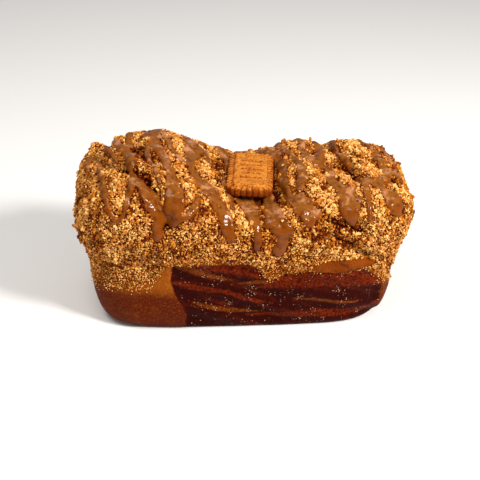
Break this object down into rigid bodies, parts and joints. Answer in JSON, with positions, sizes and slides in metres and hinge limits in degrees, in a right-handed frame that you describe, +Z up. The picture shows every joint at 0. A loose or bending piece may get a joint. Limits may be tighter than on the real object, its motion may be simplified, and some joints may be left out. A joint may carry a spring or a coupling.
{
  "type": "babka loaf",
  "caption": "Tall twisted sweet loaf with two humps, a coarse crumble topping, caramel ribbons and a scalloped biscuit bedded across the middle.",
  "frame": {"origin": "middle of the flat underside, on the surface that the loaf rests on", "axes": "+X along the loaf, -Y to the front with the open swirl, +Z up"},
  "size_m": [0.2346, 0.1208, 0.1202],
  "materials": {
    "crumble_crust": "baked crumble and crust, matte and rough, with glossy caramel ribbons fused to it",
    "biscuit_bake": "dry baked biscuit, matte"
  },
  "bodies": {
    "root": {"loaf": "crumble_crust", "biscuit": "biscuit_bake"}
  },
  "joints": []
}
